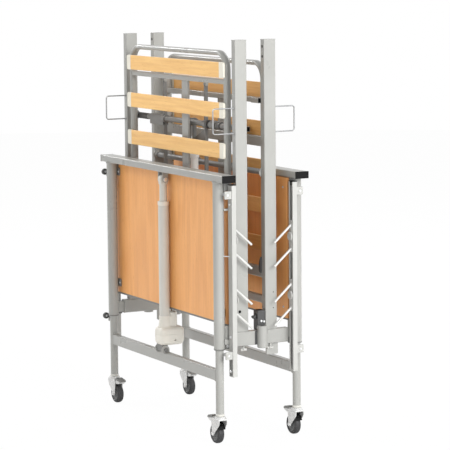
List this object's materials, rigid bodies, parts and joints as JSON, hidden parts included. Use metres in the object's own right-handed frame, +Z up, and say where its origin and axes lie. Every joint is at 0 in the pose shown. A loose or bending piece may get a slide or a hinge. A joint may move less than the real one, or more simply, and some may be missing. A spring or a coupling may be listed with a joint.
{
  "type": "electric care bed, parked for transport",
  "caption": "Electric care bed taken apart and parked upright on castors: lifting end frames joined by transport bars, with both halves of the slatted lying surface standing between them.",
  "frame": {"origin": "on the floor, in the middle of the parked bed", "axes": "+X across the bed to its right side, +Y from the foot end to the head end, +Z up"},
  "size_m": [1.032, 0.377, 1.4633],
  "materials": {
    "grey_coat": "light grey powder coat, satin",
    "beech_board": "beech wood-look laminate board, satin",
    "slat_wood": "pale laminated wood slat",
    "cream_plastic": "cream moulded plastic",
    "pale_tube": "pale grey coated tube",
    "white_plastic": "white plastic",
    "black_plastic": "black moulded plastic",
    "tyre": "dark grey castor tyre",
    "zinc": "zinc-plated pressed steel"
  },
  "bodies": {
    "upper_frame": {"foot_lift_frame": "grey_coat", "foot_end_panel": "beech_board", "foot_lift_piston": "pale_tube", "foot_left_guide_rail": "white_plastic", "foot_right_guide_rail": "white_plastic", "head_lift_frame": "grey_coat", "head_end_panel": "beech_board", "head_lift_piston": "pale_tube", "head_left_guide_rail": "white_plastic", "head_right_guide_rail": "white_plastic", "left_transport_bar": "grey_coat", "right_transport_bar": "grey_coat"},
    "foot_base": {"foot_leg_frame": "grey_coat", "foot_lift_drive": "cream_plastic", "foot_lead_screw": "zinc"},
    "foot_left_castor": {"foot_left_castor_fork": "zinc"},
    "foot_left_wheel": {"foot_left_castor_wheel": "tyre"},
    "foot_left_pedal": {"foot_left_castor_pedal": "black_plastic"},
    "foot_left_lower_slider": {"foot_left_lower_slider": "white_plastic"},
    "foot_left_upper_slider": {"foot_left_upper_slider": "white_plastic"},
    "foot_right_castor": {"foot_right_castor_fork": "zinc"},
    "foot_right_wheel": {"foot_right_castor_wheel": "tyre"},
    "foot_right_pedal": {"foot_right_castor_pedal": "black_plastic"},
    "foot_right_lower_slider": {"foot_right_lower_slider": "white_plastic"},
    "foot_right_upper_slider": {"foot_right_upper_slider": "white_plastic"},
    "head_base": {"head_leg_frame": "grey_coat", "head_lift_drive": "cream_plastic", "head_lead_screw": "zinc"},
    "head_left_castor": {"head_left_castor_fork": "zinc"},
    "head_left_wheel": {"head_left_castor_wheel": "tyre"},
    "head_left_pedal": {"head_left_castor_pedal": "black_plastic"},
    "head_left_lower_slider": {"head_left_lower_slider": "white_plastic"},
    "head_left_upper_slider": {"head_left_upper_slider": "white_plastic"},
    "head_right_castor": {"head_right_castor_fork": "zinc"},
    "head_right_wheel": {"head_right_castor_wheel": "tyre"},
    "head_right_pedal": {"head_right_castor_pedal": "black_plastic"},
    "head_right_lower_slider": {"head_right_lower_slider": "white_plastic"},
    "head_right_upper_slider": {"head_right_upper_slider": "white_plastic"},
    "left_clamp_knob": {"left_clamp_knob": "black_plastic"},
    "right_clamp_knob": {"right_clamp_knob": "black_plastic"},
    "foot_half": {"foot_side_frame": "grey_coat", "foot_section_drive": "cream_plastic"},
    "foot_section": {"leg_section_frame": "grey_coat", "foot_slat_1": "slat_wood", "foot_slat_2": "slat_wood", "foot_slat_3": "slat_wood", "foot_slat_4": "slat_wood", "foot_slat_5": "slat_wood"},
    "foot_shaft": {"foot_lift_shaft": "grey_coat"},
    "foot_rod": {"foot_push_rod": "pale_tube"},
    "head_half": {"head_side_frame": "grey_coat", "head_section_drive": "cream_plastic"},
    "head_section": {"backrest_frame": "grey_coat", "head_slat_1": "slat_wood", "head_slat_2": "slat_wood", "head_slat_3": "slat_wood", "head_slat_4": "slat_wood", "head_slat_5": "slat_wood"},
    "head_shaft": {"head_lift_shaft": "grey_coat"},
    "head_rod": {"head_push_rod": "pale_tube"}
  },
  "joints": [
    {"name": "foot_lift", "type": "slide", "parent": "upper_frame", "child": "foot_base", "axis": [0, 0, -1], "range_m": [0, 0.4]},
    {"name": "foot_left_swivel", "type": "hinge", "parent": "foot_base", "child": "foot_left_castor", "pos_m": [-0.45, -0.16, 0.104], "axis": [0, 0, 1], "continuous": true},
    {"name": "foot_left_wheel_spin", "type": "hinge", "parent": "foot_left_castor", "child": "foot_left_wheel", "pos_m": [-0.426, -0.16, 0.0375], "axis": [0, 1, 0], "continuous": true},
    {"name": "foot_left_brake_pedal", "type": "hinge", "parent": "foot_left_castor", "child": "foot_left_pedal", "pos_m": [-0.43, -0.16, 0.085], "axis": [0, 1, 0], "range_deg": [0, 12]},
    {"name": "foot_left_lower_slider_slide", "type": "slide", "parent": "upper_frame", "child": "foot_left_lower_slider", "axis": [0, 0, 1], "range_m": [-0.17, 0.045]},
    {"name": "foot_left_upper_slider_slide", "type": "slide", "parent": "upper_frame", "child": "foot_left_upper_slider", "axis": [0, 0, 1], "range_m": [-0.045, 0.12]},
    {"name": "foot_right_swivel", "type": "hinge", "parent": "foot_base", "child": "foot_right_castor", "pos_m": [0.45, -0.16, 0.104], "axis": [0, 0, 1], "continuous": true},
    {"name": "foot_right_wheel_spin", "type": "hinge", "parent": "foot_right_castor", "child": "foot_right_wheel", "pos_m": [0.426, -0.16, 0.0375], "axis": [0, 1, 0], "continuous": true},
    {"name": "foot_right_brake_pedal", "type": "hinge", "parent": "foot_right_castor", "child": "foot_right_pedal", "pos_m": [0.43, -0.16, 0.085], "axis": [0, -1, 0], "range_deg": [0, 12]},
    {"name": "foot_right_lower_slider_slide", "type": "slide", "parent": "upper_frame", "child": "foot_right_lower_slider", "axis": [0, 0, 1], "range_m": [-0.17, 0.045]},
    {"name": "foot_right_upper_slider_slide", "type": "slide", "parent": "upper_frame", "child": "foot_right_upper_slider", "axis": [0, 0, 1], "range_m": [-0.045, 0.12]},
    {"name": "head_lift", "type": "slide", "parent": "upper_frame", "child": "head_base", "axis": [0, 0, -1], "range_m": [0, 0.4]},
    {"name": "head_left_swivel", "type": "hinge", "parent": "head_base", "child": "head_left_castor", "pos_m": [-0.45, 0.16, 0.104], "axis": [0, 0, 1], "continuous": true},
    {"name": "head_left_wheel_spin", "type": "hinge", "parent": "head_left_castor", "child": "head_left_wheel", "pos_m": [-0.426, 0.16, 0.0375], "axis": [0, 1, 0], "continuous": true},
    {"name": "head_left_brake_pedal", "type": "hinge", "parent": "head_left_castor", "child": "head_left_pedal", "pos_m": [-0.43, 0.16, 0.085], "axis": [0, 1, 0], "range_deg": [0, 12]},
    {"name": "head_left_lower_slider_slide", "type": "slide", "parent": "upper_frame", "child": "head_left_lower_slider", "axis": [0, 0, 1], "range_m": [-0.17, 0.045]},
    {"name": "head_left_upper_slider_slide", "type": "slide", "parent": "upper_frame", "child": "head_left_upper_slider", "axis": [0, 0, 1], "range_m": [-0.045, 0.12]},
    {"name": "head_right_swivel", "type": "hinge", "parent": "head_base", "child": "head_right_castor", "pos_m": [0.45, 0.16, 0.104], "axis": [0, 0, 1], "continuous": true},
    {"name": "head_right_wheel_spin", "type": "hinge", "parent": "head_right_castor", "child": "head_right_wheel", "pos_m": [0.426, 0.16, 0.0375], "axis": [0, 1, 0], "continuous": true},
    {"name": "head_right_brake_pedal", "type": "hinge", "parent": "head_right_castor", "child": "head_right_pedal", "pos_m": [0.43, 0.16, 0.085], "axis": [0, -1, 0], "range_deg": [0, 12]},
    {"name": "head_right_lower_slider_slide", "type": "slide", "parent": "upper_frame", "child": "head_right_lower_slider", "axis": [0, 0, 1], "range_m": [-0.17, 0.045]},
    {"name": "head_right_upper_slider_slide", "type": "slide", "parent": "upper_frame", "child": "head_right_upper_slider", "axis": [0, 0, 1], "range_m": [-0.045, 0.12]},
    {"name": "left_clamp_turn", "type": "hinge", "parent": "upper_frame", "child": "left_clamp_knob", "pos_m": [-0.45, -0.011, 0.456], "axis": [0, 1, 0], "range_deg": [0, 180]},
    {"name": "right_clamp_turn", "type": "hinge", "parent": "upper_frame", "child": "right_clamp_knob", "pos_m": [0.45, -0.011, 0.456], "axis": [0, 1, 0], "range_deg": [0, 180]},
    {"name": "foot_half_lift_off", "type": "slide", "parent": "upper_frame", "child": "foot_half", "axis": [0, 0, 1], "range_m": [0, 0.3]},
    {"name": "leg_section_tilt", "type": "hinge", "parent": "foot_half", "child": "foot_section", "pos_m": [0, -0.0875, 0.6153], "axis": [1, 0, 0], "range_deg": [0, 1]},
    {"name": "foot_shaft_turn", "type": "hinge", "parent": "foot_half", "child": "foot_shaft", "pos_m": [0, -0.06, 1.1438], "axis": [1, 0, 0], "range_deg": [0, 5.05]},
    {"name": "foot_push_rod_slide", "type": "slide", "parent": "foot_half", "child": "foot_rod", "axis": [0, 0, 1], "range_m": [0, 0.00267]},
    {"name": "head_half_lift_off", "type": "slide", "parent": "upper_frame", "child": "head_half", "axis": [0, 0, 1], "range_m": [0, 0.3]},
    {"name": "backrest_tilt", "type": "hinge", "parent": "head_half", "child": "head_section", "pos_m": [0, 0.064, 0.6153], "axis": [-1, 0, 0], "range_deg": [0, 3.4]},
    {"name": "head_shaft_turn", "type": "hinge", "parent": "head_half", "child": "head_shaft", "pos_m": [0, 0.0365, 0.9803], "axis": [-1, 0, 0], "range_deg": [0, 13.65]},
    {"name": "head_push_rod_slide", "type": "slide", "parent": "head_half", "child": "head_rod", "axis": [0, 0, 1], "range_m": [0, 0.00717]}
  ],
  "couplings": [
    {"joint": "foot_shaft_turn", "follows": "leg_section_tilt", "ratio": 5},
    {"joint": "foot_push_rod_slide", "follows": "leg_section_tilt", "m_per_rad": 0.15},
    {"joint": "head_shaft_turn", "follows": "backrest_tilt", "ratio": 4},
    {"joint": "head_push_rod_slide", "follows": "backrest_tilt", "m_per_rad": 0.12},
    {"joint": "head_lift", "follows": "foot_lift", "ratio": 1}
  ]
}
